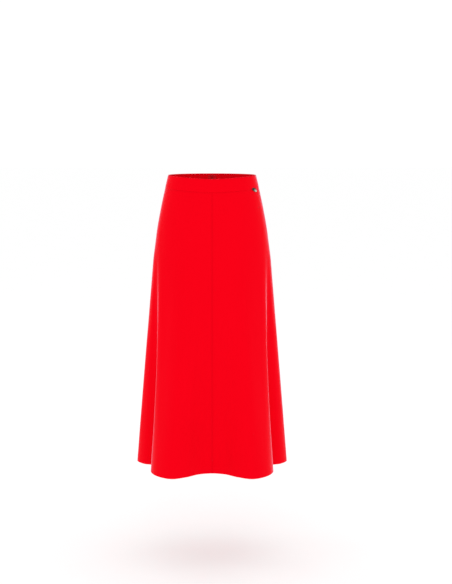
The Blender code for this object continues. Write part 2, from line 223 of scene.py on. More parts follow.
@dataclass(frozen=True)
class SkirtForm:
    """The surface that all the cloth lies on, with its creases."""

    step: float = 1e-4  # the small move that slopes are measured over
    crease_end: float = 0.09  # how far a crease takes to fade at each end

    @property
    def stations(self) -> Array:
        """Each fold's place around the half hem.

        Returns:
            The places, from 0 at the centre front to 1 at the centre back.
        """
        hem = np.array([(fold.hem_x, fold.hem_y) for fold in FOLDS])
        lengths = np.linalg.norm(np.diff(hem, axis=0), axis=1)
        return np.concatenate([[0.0], np.cumsum(lengths)]) / lengths.sum()

    def place(self, name: str) -> float:
        """The place around of a named fold."""
        return float(self.stations[[fold.name for fold in FOLDS].index(name)])

    def fold_values(self, around: Array) -> Array:
        """Reads the folds' values at any places, smooth from fold to fold.

        Args:
            around: places around the skirt, negative on the wearer's right.

        Returns:
            A row of hip angle, hem x, hem y, dip and lateness for each place.
        """
        table = np.array([(math.radians(fold.hip_angle), *fold[2:]) for fold in FOLDS])
        mirror = (-1, -1, 1, 1, 1)
        past_back = table[[-2, -3]] * mirror + (math.tau, 0, 0, 0, 0)
        values = np.concatenate([table[[2, 1]] * mirror, table, past_back])
        places = self.stations
        places = np.concatenate([-places[[2, 1]], places, 2 - places[[-2, -3]]])
        half = 1 - np.abs(1 - np.abs(around))
        hand = np.where((around < 0) | (around > 1), -1, 1)
        found = smooth_through(places, values, half)
        found[:, :2] *= hand[:, None]
        return found

    def face(self, around: Array, height: Array) -> Array:
        """Points on the skirt's smooth outer face.

        Args:
            around: places around the skirt.
            height: the height at each place.

        Returns:
            An array of x, y, z rows.
        """
        angle, hem_x, hem_y, _, lateness = self.fold_values(around).T
        sections = np.array(SECTIONS)[::-1]
        level = np.clip(height, HIP_HEIGHT, BAND_TOP)
        half_width, front, back = smooth_through(sections[:, 0], sections[:, 1:], level).T
        depth = np.where(np.cos(angle) > 0, front, back)
        radius = 1 / np.hypot(np.sin(angle) / half_width, np.cos(angle) / depth)
        fall = np.clip((FLARE_START - height) / (FLARE_START - HEM_HEIGHT), 0, None)
        flare = (1 + FLARE_SOFTNESS) * fall**2 / (fall + FLARE_SOFTNESS)
        flare = flare * (1 - lateness) + flare**2 * lateness
        x = radius * np.sin(angle) * (1 - flare) + hem_x * flare
        y = -radius * np.cos(angle) * (1 - flare) + hem_y * flare
        return np.stack([x, y, height], axis=1)

    def along(self, around: Array, height: Array) -> Array:
        """Vectors along the cloth, from a step before each place to a step past it."""
        return self.face(around + self.step, height) - self.face(around - self.step, height)

    def run(self, around: Array, height: Array) -> Array:
        """How far the cloth runs at this height for each unit of around."""
        return np.linalg.norm(self.along(around, height), axis=1) / (2 * self.step)

    def paced(self, around: Array, height: Array) -> Array:
        """How far the cloth has run at each of a row of evenly spaced places."""
        return np.cumsum(self.run(around, height)) * (around[1] - around[0])

    def moved(self, around: Array, height: Array, distance: Array) -> Array:
        """The places around that lie a distance along the cloth from these."""
        return around + distance / self.run(around, height)

    def outward(self, around: Array, height: Array) -> Array:
        """Unit vectors straight out of the cloth."""
        up = self.face(around, height + self.step) - self.face(around, height - self.step)
        return unit(np.cross(self.along(around, height), up))

    def relief(self, around: Array, height: Array) -> Array:
        """How far the creases raise the cloth.

        Args:
            around: places around the skirt, negative on the wearer's right.
            height: the height at each place.

        Returns:
            The rise at each place, below 0 in a trough.
        """
        run = self.run(around, height)
        raised = np.zeros_like(height)
        for crease in CREASES.values():
            middle = (crease.top + crease.bottom) / 2
            fall = (middle - height) / (crease.top - crease.bottom)
            away = (around - crease.around - crease.lean * fall) * run
            reach = ease(height, crease.bottom, crease.bottom + self.crease_end)
            reach = reach * ease(-height, -crease.top, -crease.top + self.crease_end)
            raised += crease.depth * reach * np.exp(-((away / crease.width) ** 2))
        return raised

    def laid(self, around: Array, height: Array, depth: Array, hand: int) -> Array:
        """Points at a depth inside the creased cloth.

        Args:
            around: places around the skirt, as on the wearer's left.
            height: the height at each place.
            depth: how far inside the outer face each point lies.
            hand: 1 for the wearer's left, -1 to mirror to the right.

        Returns:
            An array of x, y, z rows.
        """
        out = self.relief(around * hand, height) - depth
        points = self.face(around, height) + self.outward(around, height) * out[:, None]
        points[:, 0] *= hand
        return points

    def front_dip(self, around: Array) -> Array:
        """How far the waistband's edges drop here below their height at the side seams."""
        angle = self.fold_values(around)[:, 0]
        return FRONT_DIP * ((1 + np.cos(angle)) / 2) ** FRONT_DIP_NARROWNESS

    def waist_seam(self, around: Array) -> Array:
        """The height of the seam under the waistband."""
        return BAND_TOP - BAND_HEIGHT - self.front_dip(around)

    def hem(self, around: Array) -> Array:
        """The height of the hem's edge."""
        return HEM_HEIGHT - self.fold_values(around)[:, 3]


FORM = SkirtForm()


# ---- shader maths


class Value:
    """A shader socket whose arithmetic adds Math nodes."""

    def __init__(self, graph: "Graph", socket: bpy.types.NodeSocket) -> None:
        """Wraps one output socket of a graph."""
        self.graph = graph
        self.socket = socket

    def _math(self, operation: str, first: Number, second: Number) -> "Value":
        """Adds one Math node.

        Args:
            operation: the node's operation.
            first: its first value.
            second: its second value.

        Returns:
            The node's result.
        """
        values = {0: first, 1: second}
        return self.graph.add("ShaderNodeMath", {"operation": operation}, values)

    def __add__(self, other: Number) -> "Value":
        """self + other."""
        return self._math("ADD", self, other)

    __radd__ = __add__

    def __sub__(self, other: Number) -> "Value":
        """self - other."""
        return self._math("SUBTRACT", self, other)

    def __rsub__(self, other: Number) -> "Value":
        """other - self."""
        return self._math("SUBTRACT", other, self)

    def __mul__(self, other: Number) -> "Value":
        """self * other."""
        return self._math("MULTIPLY", self, other)

    __rmul__ = __mul__


class Follows(Enum):
    """What a pattern follows, with its output on the coordinates node."""

    CLOTH = "UV"  # the piece's own map along its cloth
    SPACE = "Object"


MIX_FIRST, MIX_SECOND, MIX_RESULT = 6, 7, 2  # a Mix node's colour sockets, which share their names


class Graph:
    """A new node material and short ways to add to it."""

    def __init__(self, name: str) -> None:
        """Starts a material with one Principled shader.

        Args:
            name: the material's name.
        """
        self.material = bpy.data.materials.new(name)
        self.material.use_nodes = True
        self.tree = self.material.node_tree
        self.shader = self.tree.nodes["Principled BSDF"]

    def add(
        self,
        kind: str,
        settings: dict[str, object],
        values: dict[Union[int, str], object],
        out: Union[int, str] = 0,
    ) -> Value:
        """Adds one node.

        Args:
            kind: the node's type.
            settings: its properties, set first; "stops" gives a ramp's positions and grey levels.
            values: numbers, vectors or links for its sockets, by name or index.
            out: which output is returned, by name or index.

        Returns:
            The chosen output.
        """
        node = self.tree.nodes.new(kind)
        for name, setting in settings.items():
            if name == "stops":
                self._set_stops(node, setting)
            else:
                setattr(node, name, setting)
        for key, value in values.items():
            self.feed(node.inputs[key], value)
        return Value(self, node.outputs[out])

    def _set_stops(self, node: bpy.types.Node, stops: Sequence[tuple[float, float]]) -> None:
        """Gives a colour ramp its stops.

        Args:
            node: the ramp.
            stops: each stop's position and grey level.
        """
        elements = node.color_ramp.elements
        while len(elements) < len(stops):
            elements.new(1.0)
        for element, (position, level) in zip(elements, stops):
            element.position = position
            element.color = (level, level, level, 1.0)

    def feed(self, socket: bpy.types.NodeSocket, value: object) -> None:
        """Links a value to a socket, or sets it there.

        Args:
            socket: the socket that takes the value.
            value: a link, a number or a vector.
        """
        if isinstance(value, Value):
            self.tree.links.new(value.socket, socket)
        else:
            socket.default_value = value

    def set(self, **values: object) -> None:
        """Feeds the Principled shader's sockets, named with _ for a space."""
        for name, value in values.items():
            self.feed(self.shader.inputs[name.replace("_", " ")], value)

    def place(self, follows: Follows, scale: Sequence[float] = (1, 1, 1), turn: float = 0.0) -> Value:
        """Adds the coordinates of a pattern.

        Args:
            follows: what the pattern follows.
            scale: its scale along each axis.
            turn: its turn about Z, in radians.

        Returns:
            The coordinates.
        """
        start = self.add("ShaderNodeTexCoord", {}, {}, follows.value)
        values = {"Vector": start, "Scale": tuple(scale), "Rotation": (0, 0, turn)}
        return self.add("ShaderNodeMapping", {}, values)

    def noise(self, place: Value, scale: float, detail: float = 2.0, rough: float = 0.5) -> Value:
        """A noise pattern from 0 to 1."""
        values = {"Vector": place, "Scale": scale, "Detail": detail, "Roughness": rough}
        return self.add("ShaderNodeTexNoise", {}, values)

    def ribs(self, place: Value, direction: str, scale: float, warp: float = 0.0) -> Value:
        """Adds even ribs.

        Args:
            place: the coordinates.
            direction: the axis that the ribs are counted along.
            scale: how close together they are.
            warp: how unevenly they lie.

        Returns:
            The ribs, from 0 to 1.
        """
        settings = {"wave_type": "BANDS", "bands_direction": direction, "wave_profile": "SIN"}
        values = {"Vector": place, "Scale": scale, "Distortion": warp, "Detail": 1.0}
        return self.add("ShaderNodeTexWave", settings, values)

    def attribute(self, name: str) -> Value:
        """A number that a mesh carries at its points."""
        return self.add("ShaderNodeAttribute", {"attribute_name": name}, {}, "Fac")

    def blend(self, share: Number, first: Union[Colour, Value], second: Union[Colour, Value]) -> Value:
        """Mixes two colours.

        Args:
            share: how much of the second colour there is.
            first: the first colour.
            second: the second colour.

        Returns:
            The mixed colour.
        """
        settings = {"data_type": "RGBA", "blend_type": "MIX", "clamp_factor": True}
        first, second = (end if isinstance(end, Value) else (*end, 1.0) for end in (first, second))
        values = {0: share, MIX_FIRST: first, MIX_SECOND: second}
        return self.add("ShaderNodeMix", settings, values, MIX_RESULT)

    def bump(self, height: Value, distance: float) -> None:
        """Gives the shader fine relief of this depth in metres."""
        values = {"Height": height, "Distance": distance, "Strength": 1.0}
        self.set(Normal=self.add("ShaderNodeBump", {}, values))


PAINTED_LIGHT_AND_WEAR = "pressed"  # the mesh attribute: painted shade beside the crepe's seams; on the tag, rubbed wear plus painted light
# how far from a seam or top edge the crepe's painted shade reaches
SEAM_SHADE_WIDTH = 0.0058


class Slot(Enum):
    """The record's material slots."""

    CREPE = "red_crepe"
    TAPE = "red_zip_tape"
    LACQUER = "red_zip_lacquer"
    SILVER = "old_silver"


@dataclass(frozen=True)
class Finish:
    """One material."""

    name: str

    def make(self) -> bpy.types.Material:
        """Builds the material.

        Returns:
            The material, with its nodes.
        """
        graph = Graph(self.name)
        self.dress(graph)
        return graph.material

    def dress(self, graph: Graph) -> None:
        """Adds the finish's own nodes to a new material."""
        raise NotImplementedError


@dataclass(frozen=True)
class Crepe(Finish):
    """Smooth matt crepe with a fine pebbled grain and a faint sheen at its turned edges."""

    name: str = Slot.CREPE.value
    colour: Colour = (0.845, 0.0002, 0.0078)
    deep: Colour = (0.785, 0.0002, 0.0064)
    # painted shade: the darker colour that the crepe takes beside its seams
    pressed: Colour = (0.66, 0.0004, 0.0062)
    # how strongly the painted shade darkens the seams
    pressed_share: float = 0.38
    grain: float = 1300.0
    slubs: float = 900.0
    slub_stretch: tuple[float, float, float] = (1.0, 0.12, 1.0)
    yarns: float = 620.0
    wander: float = 1.2  # how unevenly the yarns lie
    clouds: float = 9.0
    cloud_stretch: tuple[float, float, float] = (1.0, 1.0, 0.5)
    roughness: float = 0.58
    relief: float = 0.00014
    gloss: float = 0.006
    sheen: float = 0.90
    sheen_spread: float = 0.235
    sheen_tint: Colour = (0.90, 0.76, 1.0)

    def dress(self, graph: Graph) -> None:
        """Adds the grain, painted shade along the seams and the sheen.

        Args:
            graph: the new material.
        """
        cloth = graph.place(Follows.CLOTH)
        pebble = graph.noise(cloth, self.grain, detail=3.0, rough=0.6)
        slub = graph.noise(graph.place(Follows.CLOTH, self.slub_stretch), self.slubs)
        warp = graph.ribs(cloth, "X", self.yarns, self.wander)
        weft = graph.ribs(cloth, "Y", self.yarns, self.wander)
        cloud = graph.noise(graph.place(Follows.SPACE, self.cloud_stretch), self.clouds)
        plain = graph.blend(0.55 * cloud + 0.3 * pebble + 0.15 * slub, self.colour, self.deep)
        # painted shade: the crepe turns darker beside its seams, standing in for the shade in their groove
        seam = self.pressed_share * graph.attribute(PAINTED_LIGHT_AND_WEAR)
        graph.set(Base_Color=graph.blend(seam, plain, self.pressed))
        graph.set(Roughness=self.roughness + 0.16 * pebble)
        graph.set(Specular_IOR_Level=self.gloss, Sheen_Weight=self.sheen)
        graph.set(Sheen_Roughness=self.sheen_spread, Sheen_Tint=(*self.sheen_tint, 1.0))
        graph.bump(0.6 * pebble + 0.2 * warp + 0.2 * weft, self.relief)


@dataclass(frozen=True)
class Tape(Finish):
    """Woven zip tape with a herringbone rib."""

    name: str = Slot.TAPE.value
    colour: Colour = (0.74, 0.001, 0.009)
    deep: Colour = (0.55, 0.0005, 0.006)
    ribs: float = 300.0
    wefts: float = 420.0
    slant: float = 0.7  # of the wefts, in radians
    fuzz: float = 2200.0
    roughness: float = 0.88
    gloss: float = 0.15
    sheen: float = 0.1
    sheen_spread: float = 0.4
    relief: float = 0.00014

    def dress(self, graph: Graph) -> None:
        """Adds the ribs, the slanting wefts and their fuzz.

        Args:
            graph: the new material.
        """
        cloth = graph.place(Follows.CLOTH)
        rib = graph.ribs(cloth, "X", self.ribs)
        weft = graph.ribs(graph.place(Follows.CLOTH, turn=self.slant), "Y", self.wefts)
        weave = 0.5 * rib + 0.3 * weft + 0.2 * graph.noise(cloth, self.fuzz)
        graph.set(Base_Color=graph.blend(weave, self.deep, self.colour))
        graph.set(Roughness=self.roughness - 0.14 * weave, Specular_IOR_Level=self.gloss)
        graph.set(Sheen_Weight=self.sheen, Sheen_Roughness=self.sheen_spread)
        graph.bump(weave, self.relief)


@dataclass(frozen=True)
class Thread(Finish):
    """Twisted sewing thread."""

    name: str = "red_thread"
    colour: Colour = (0.72, 0.003, 0.014)
    deep: Colour = (0.50, 0.001, 0.008)
    twists: float = 900.0
    slant: float = 0.6
    lint: float = 3000.0
    roughness: float = 0.60
    gloss: float = 0.3
    relief: float = 0.00006

    def dress(self, graph: Graph) -> None:
        """Adds the twist and its lint.

        Args:
            graph: the new material.
        """
        twist = graph.ribs(graph.place(Follows.SPACE, turn=self.slant), "DIAGONAL", self.twists)
        lint = graph.noise(graph.place(Follows.SPACE), self.lint)
        tone = 0.7 * twist + 0.3 * lint
        graph.set(Base_Color=graph.blend(tone, self.deep, self.colour))
        graph.set(Roughness=self.roughness + 0.2 * lint, Specular_IOR_Level=self.gloss)
        graph.bump(tone, self.relief)


@dataclass(frozen=True)
class Lacquer(Finish):
    """Metal lacquered red to match the cloth, rubbed a little here and there."""

    name: str = Slot.LACQUER.value
    colour: Colour = (0.58, 0.004, 0.012)
    rubbed: Colour = (0.44, 0.05, 0.05)
    patches: float = 700.0
    patch_edge: tuple[float, float] = (0.60, 0.72)
    dust: float = 4200.0
    metal: float = 0.35
    roughness: float = 0.26
    coat: float = 0.35
    coat_roughness: float = 0.16
    relief: float = 0.00002

    def dress(self, graph: Graph) -> None:
        """Adds the rubbed patches and the dust in the coat.

        Args:
            graph: the new material.
        """
        place = graph.place(Follows.SPACE)
        patch = graph.noise(place, self.patches, detail=4.0, rough=0.65)
        stops = tuple(zip(self.patch_edge, (0.0, 1.0)))
        rub = graph.add("ShaderNodeValToRGB", {"stops": stops}, {"Fac": patch})
        dust = graph.noise(place, self.dust)
        graph.set(Base_Color=graph.blend(rub, self.colour, self.rubbed), Metallic=self.metal + 0.4 * rub)
        graph.set(Roughness=self.roughness + 0.14 * dust + 0.12 * rub)
        graph.set(Coat_Weight=self.coat, Coat_Roughness=self.coat_roughness)
        graph.bump(dust + 0.4 * patch, self.relief)


@dataclass(frozen=True)
class OldSilver(Finish):
    """Antiqued silver: dark in its hollows and rubbed pale on its high places."""

    name: str = Slot.SILVER.value
    pale: Colour = (0.33, 0.30, 0.245)
    dark: Colour = (0.045, 0.040, 0.034)
    stains: float = 380.0
    pits: float = 2600.0
    metal: float = 0.95
    roughness: float = 0.46
    shade_edge: tuple[float, float] = (0.10, 0.55)
    relief: float = 0.00005

    def dress(self, graph: Graph) -> None:
        """Adds the stain, the rubbing with the tag's painted light, and the pits.

        Args:
            graph: the new material.
        """
        place = graph.place(Follows.SPACE)
        stain = graph.noise(place, self.stains, detail=4.0, rough=0.6)
        pits = graph.noise(place, self.pits, detail=3.0)
        # the tag's mark holds its rubbed wear and its painted light; the stains darken it
        rubbed = graph.attribute(PAINTED_LIGHT_AND_WEAR) * 1.15 - 0.45 * stain
        stops = tuple(zip(self.shade_edge, (0.0, 1.0)))
        shade = graph.add("ShaderNodeValToRGB", {"stops": stops}, {"Fac": rubbed})
        graph.set(Base_Color=graph.blend(shade, self.dark, self.pale), Metallic=self.metal)
        graph.set(Roughness=self.roughness - 0.18 * shade + 0.10 * pits)
        graph.bump(pits + 0.6 * stain, self.relief)


@dataclass(frozen=True)
class Floor(Finish):
    """A plain pale studio floor."""

    name: str = "studio_floor"
    colour: Colour = (0.96, 0.96, 0.96)
    mottled: Colour = (0.94, 0.94, 0.94)
    mottles: float = 6.0
    roughness: float = 0.85

    def dress(self, graph: Graph) -> None:
        """Adds a faint mottle.

        Args:
            graph: the new material.
        """
        mottle = graph.noise(graph.place(Follows.SPACE), self.mottles)
        graph.set(Base_Color=graph.blend(mottle, self.colour, self.mottled))
        graph.set(Roughness=self.roughness, Specular_IOR_Level=0.0)


@dataclass(frozen=True)
class Finishes:
    """Every material of the skirt, made once."""

    crepe: bpy.types.Material
    tape: bpy.types.Material
    thread: bpy.types.Material
    lacquer: bpy.types.Material
    silver: bpy.types.Material

    @classmethod
    def make(cls) -> "Finishes":
        """Makes all the materials."""
        return cls(*(finish().make() for finish in (Crepe, Tape, Thread, Lacquer, OldSilver)))


# ---- modelling


class Cut(NamedTuple):
    """A flat cut piece of cloth in metres, with its area where it isn't a rectangle."""

    width: float
    length: float
    area: Optional[float] = None


def add_object(name: str, data: bpy.types.ID) -> bpy.types.Object:
    """Puts an object in the scene.

    Args:
        name: the object's name.
        data: its mesh, curve, lamp or camera.

    Returns:
        The object.
    """
    made = bpy.data.objects.new(name, data)
    bpy.context.scene.collection.objects.link(made)
    return made


def add_mesh_piece(name: str, mesh: bpy.types.Mesh, material: bpy.types.Material) -> bpy.types.Object:
    """Makes a smooth-shaded piece of a mesh, which rides on the skirt.

    Args:
        name: the piece's name.
        mesh: its mesh.
        material: its finish.

    Returns:
        The piece.
    """
    mesh.name = name
    mesh.shade_smooth()
    mesh.materials.append(material)
    piece = add_object(name, mesh)
    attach(piece, "root")
    log.info("%s: %d faces", name, len(mesh.polygons))
    return piece


def add_piece(name: str, bm: bmesh.types.BMesh, material: bpy.types.Material) -> bpy.types.Object:
    """Makes a piece of a closed bmesh, which is freed.

    Args:
        name: the piece's name.
        bm: its shape.
        material: its finish.

    Returns:
        The piece.
    """
    face_outwards(bm)
    mesh = bpy.data.meshes.new(name)
    bm.to_mesh(mesh)
    bm.free()
    return add_mesh_piece(name, mesh, material)


def declare(
    piece: bpy.types.Object, node: Optional[str] = None, cut: Optional[Cut] = None
) -> None:
    """Hides the solid that a piece stands for.

    Args:
        piece: the piece; not used.
        node: the solid that it stands for, if there is one.
        cut: its flat cut, if it is a sheet of cloth; not used.
    """
    if node:
        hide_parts(node)


def face_outwards(bm: bmesh.types.BMesh) -> None:
    """Turns a closed mesh's faces outwards, also on a thin curved wall.

    Args:
        bm: the mesh.
    """
    bmesh.ops.recalc_face_normals(bm, faces=bm.faces)
    if bm.calc_volume(signed=True) < 0:
        bmesh.ops.reverse_faces(bm, faces=bm.faces)


def push_out(
    bm: bmesh.types.BMesh, faces: Sequence[bmesh.types.BMFace], way: Sequence[float]
) -> list[bmesh.types.BMFace]:
    """Extrudes faces by a vector and drops what they leave inside.

    Args:
        bm: the mesh.
        faces: the faces to extrude.
        way: how far they move.

    Returns:
        The new end faces.
    """
    around = {other for face in faces for edge in face.edges for other in edge.link_faces}
    inner = list(faces) if around - set(faces) else []
    made = bmesh.ops.extrude_face_region(bm, geom=list(faces))["geom"]
    corners = [item for item in made if isinstance(item, bmesh.types.BMVert)]
    bmesh.ops.translate(bm, verts=corners, vec=way)
    bmesh.ops.delete(bm, geom=inner, context="FACES_ONLY")
    return [item for item in made if isinstance(item, bmesh.types.BMFace)]


def places_of(bm: bmesh.types.BMesh) -> Array:
    """Where each vertex is, a row each."""
    return np.array([vertex.co for vertex in bm.verts])


def move_to(bm: bmesh.types.BMesh, points: Array) -> None:
    """Moves each vertex to its own point."""
    for vertex, point in zip(bm.verts, points):
        vertex.co = point


class Block(NamedTuple):
    """A flat block of cloth, with each vertex's column, row and layer (0 inside, 1 outside)."""

    bm: bmesh.types.BMesh
    column: Array
    row: Array
    layer: Array


def cloth_block(columns: int, rows: int) -> Block:
    """Makes a flat block of cloth, one unit a row and column.

    Args:
        columns: how many columns of faces it has.
        rows: how many rows of faces it has.

    Returns:
        The block.
    """
    bm = bmesh.new()
    bmesh.ops.create_grid(bm, x_segments=columns, y_segments=rows, size=0.5)
    bmesh.ops.translate(bm, verts=bm.verts, vec=(0.5, 0.5, 0.0))
    bmesh.ops.scale(bm, verts=bm.verts, vec=(columns, rows, 1.0))
    push_out(bm, bm.faces[:], (0.0, 0.0, 1.0))
    return Block(bm, *np.rint(places_of(bm)).astype(int).T)


EDGE = (0.0, 0.0004, 0.0010, 0.0020, 0.0036, 0.0060)  # columns and rows this far from a seam
FAR = 1.0  # from any edge
ROLL_WIDTH = 0.0055  # how far from a seam the cloth starts to turn in
ROLL_DEPTH = 0.0007
FOLD_START = 0.12  # radians round a fold from its edge to its first row
FOLD_ROWS = 6


def inset(distances: Sequence[float], count: Array) -> Array:
    """How far in from an edge its nth row or column lies, by a table of the nearest."""
    return np.append(distances, FAR)[np.clip(count, 0, len(distances))]


def roll(distance: Array) -> Array:
    """How far the outer face has turned in at this distance from a seam."""
    return ROLL_DEPTH * np.clip(1 - distance / ROLL_WIDTH, 0, 1) ** 2


def fold_in(distance: Array, radius: float) -> Array:
    """How far each face of a folded edge has closed in at this distance from the edge."""
    short = np.clip(radius - distance, 0, radius)
    return radius - np.sqrt(radius**2 - short**2)


def fold_rows(radius: float) -> Array:
    """Distances from a folded edge of the rows that round it, nearest first."""
    return radius * (1 - np.cos(np.linspace(FOLD_START, math.pi / 2, FOLD_ROWS)))


@dataclass(frozen=True)
class Columns:
    """A cloth piece's columns from one seam to the next, closer together beside the seams."""

    first: float
    last: float
    count: int

    @property
    def total(self) -> int:
        """How many columns of faces there are."""
        return self.count + 2 * len(EDGE) - 1

    def lay(self, column: Array, height: Array) -> tuple[Array, Array]:
        """Places columns of points on the cloth.

        Args:
            column: each point's column.
            height: each point's height.

        Returns:
            Each point's place around, and how far it lies from the nearer seam.
        """
        last = len(EDGE) - 1
        from_end = self.total - column
        start, stop = (np.array(EDGE)[np.clip(n, 0, last)] + SEAM_TOUCH for n in (column, from_end))
        low = FORM.moved(np.full_like(height, self.first), height, start)
        high = FORM.moved(np.full_like(height, self.last), height, -stop)
        share = np.clip((column - last) / (self.total - 2 * last), 0, 1)
        near = np.minimum(inset(EDGE, column), inset(EDGE, from_end))
        return low * (1 - share) + high * share, near


@dataclass(frozen=True)
class Rows:
    """A cloth piece's rows, each a share of the way down plus a distance further down."""

    share: Array
    beyond: Array

    @classmethod
    def of(cls, top: Sequence[float], middle: Sequence[float], bottom: Sequence[float]) -> "Rows":
        """Sets out the rows from the top edge to the bottom one.

        Args:
            top: distances below the top edge.
            middle: shares of the way down.
            bottom: distances above the bottom edge, nearest first.

        Returns:
            The rows.
        """
        share = np.concatenate([np.zeros(len(top)), middle, np.ones(len(bottom))])
        beyond = np.concatenate([top, np.zeros(len(middle)), -np.array(bottom)[::-1]])
        return cls(share, beyond)

    @property
    def total(self) -> int:
        """How many rows of faces there are."""
        return len(self.share) - 1

    def heights(self, row: Array, top: Array, bottom: Array) -> Array:
        """Each point's height between the piece's top and bottom edges."""
        return top + (bottom - top) * self.share[row] - self.beyond[row]


def mark(mesh: bpy.types.Mesh, name: str, values: Array) -> None:
    """Stores one number from 0 to 1 at each of a mesh's points."""
    layer = mesh.attributes.new(name, "FLOAT", "POINT")
    layer.data.foreach_set("value", np.clip(values, 0, 1).astype(np.float32))


def map_cloth(mesh: bpy.types.Mesh, across: Array, height: Array) -> None:
    """Gives a mesh a UV map in metres along its cloth.

    Args:
        mesh: the mesh.
        across: how far across the cloth each point lies.
        height: each point's height.
    """
    corners = np.empty(len(mesh.loops), dtype=np.int32)
    mesh.loops.foreach_get("vertex_index", corners)
    layer = mesh.uv_layers.new(name="cloth")
    layer.data.foreach_set("uv", np.stack([across[corners], height[corners]], axis=1).ravel())


def lengths_along(points: Array, block: Block) -> Array:
    """Measures a cloth piece along its rows.

    Args:
        points: each point's place on the skirt.
        block: the block that the piece was wrapped from.

    Returns:
        How far each point lies along its row from the middle column.
    """
    _, column, row, layer = block
    grid = np.empty((2, row.max() + 1, column.max() + 1, 3))
    grid[layer, row, column] = points
    steps = np.linalg.norm(np.diff(grid, axis=2), axis=3)
    along = np.concatenate([np.zeros_like(steps[:, :, :1]), np.cumsum(steps, axis=2)], axis=2)
    along -= along[:, :, column.max() // 2, None]
    return along[layer, row, column]


class Panel(NamedTuple):
    """A panel of cloth between two lengthwise seams, given as on the wearer's left."""

    node: str  # the solid that it stands for
    first: float  # its first edge's place around
    last: float
    columns: int
    hand: int  # 1 for the wearer's left or both sides, -1 to mirror it to the right
    cut: Cut
    parting: float = 0.0  # how far its last edge can stand from its seam


@dataclass
class Wrapped:
    """Crepe panels that are wrapped on the skirt."""

    finishes: Finishes
    rows: Rows = field(init=False)

    def edges(self, around: Array) -> tuple[Array, Array]:
        """The heights of a panel's top and bottom edges."""
        raise NotImplementedError

    def depths(self, layer: Array, row: Array, near: Array) -> Array:
        """Each point's depth in the cloth, near being its distance to a lengthwise seam."""
        raise NotImplementedError

    def opening(self, share: Array, height: Array) -> Array:
        """The share of a panel's parting that points take, by their share of its width."""
        return np.zeros_like(height)

    def wrap(self, panel: Panel) -> None:
        """Makes one panel and hides the solid that it stands for.

        Args:
            panel: what is wrapped, and where.
        """
        columns, rows = Columns(panel.first, panel.last, panel.columns), self.rows
        block = cloth_block(columns.total, rows.total)
        share = block.column / columns.total
        guess = panel.first + (panel.last - panel.first) * share
        around, near = columns.lay(block.column, rows.heights(block.row, *self.edges(guess)))
        height = rows.heights(block.row, *self.edges(around))
        around = FORM.moved(around, height, -panel.parting * self.opening(share, height))
        points = FORM.laid(around, height, self.depths(block.layer, block.row, near), panel.hand)
        move_to(block.bm, points)
        piece = add_piece(panel.node + "_cloth", block.bm, self.finishes.crepe)
        map_cloth(piece.data, lengths_along(points, block), height)
        # painted shade: darker beside the lengthwise seams and along the top edge, the waist seam on a gore
        # and the fold on the waistband
        seam = np.minimum(near, np.abs(self.edges(around)[0] - height))
        mark(piece.data, PAINTED_LIGHT_AND_WEAR, 1 - seam / SEAM_SHADE_WIDTH)
        declare(piece, panel.node, panel.cut)


THREAD_ROUNDNESS = 1  # the bevel resolution of a thread's section


def add_thread(
    name: str, runs: Sequence[Array], radius: float, material: bpy.types.Material
) -> None:
    """Makes stretches of thread as one closed mesh.

    Args:
        name: the piece's name.
        runs: the points along each stretch.
        radius: the thread's radius.
        material: its finish.
    """
    curve = bpy.data.curves.new(name, "CURVE")
    curve.dimensions = "3D"
    curve.bevel_depth = radius
    curve.bevel_resolution = THREAD_ROUNDNESS
    curve.use_fill_caps = True
    for points in runs:
        spline = curve.splines.new("POLY")
        spline.points.add(len(points) - 1)
        spline.points.foreach_set("co", np.column_stack([points, np.ones(len(points))]).ravel())
    route = add_object(name + "_route", curve)
    evaluated = route.evaluated_get(bpy.context.evaluated_depsgraph_get())
    mesh = bpy.data.meshes.new_from_object(evaluated)
    bpy.data.objects.remove(route)
    mesh.materials.clear()
    declare(add_mesh_piece(name, mesh, material))


# ---- the skirt's parts


@dataclass
class Gores(Wrapped):
    """The four gores with their turned-up hem."""

    columns: int = 96
    plain_rows: int = 150
    turning_rows: int = 12
    turning_step: float = 0.0006  # the cloth thickens over this length
    rounding: Array = field(default_factory=lambda: fold_rows(HEM_CLOTH / 2))
    front_cut: Cut = Cut(0.445, 0.925, 0.300)
    back_cut: Cut = Cut(0.410, 0.925, 0.290)

    def __post_init__(self) -> None:
        """Spaces the rows."""
        drop = BAND_TOP - BAND_HEIGHT - HEM_HEIGHT
        turning = 1 - HEM_TURNING / drop
        plain = np.linspace(2 * EDGE[-1] / drop, turning, self.plain_rows)
        turned = np.linspace(turning + self.turning_step / drop, 1, self.turning_rows + 1)[:-1]
        self.rows = Rows.of(EDGE, np.concatenate([plain, turned]), self.rounding)

    def build(self) -> None:
        """Builds every gore and hides the solid that each stands for."""
        front, side, back = (FORM.place(name) for name in ("centre front", "side seam", "centre back"))
        for hand in Side:
            word, sign = hand.word, hand.value
            self.wrap(Panel(f"front_{word}_panel", front, side, self.columns, sign, self.front_cut))
            self.wrap(Panel(f"back_{word}_panel", side, back, self.columns, sign, self.back_cut))

    def edges(self, around: Array) -> tuple[Array, Array]:
        """The heights of the waist seam and the hem."""
        return FORM.waist_seam(around) - SEAM_TOUCH, FORM.hem(around)

    def depths(self, layer: Array, row: Array, near: Array) -> Array:
        """Shapes the faces, the seams' roll and the hem's fold.

        Args:
            layer: 1 for a point of the outer face, 0 for one of the inner face.
            row: each point's row.
            near: each point's distance to the nearer lengthwise seam.

        Returns:
            Each point's depth inside the skirt's face.
        """
        thick = np.where(row >= len(EDGE) + self.plain_rows, HEM_CLOTH, CLOTH)
        turn_in = roll(np.minimum(near, inset(EDGE, row)))
        closing = fold_in(inset(self.rounding, self.rows.total - row), HEM_CLOTH / 2)
        return np.where(layer == 1, turn_in + closing, thick - closing)


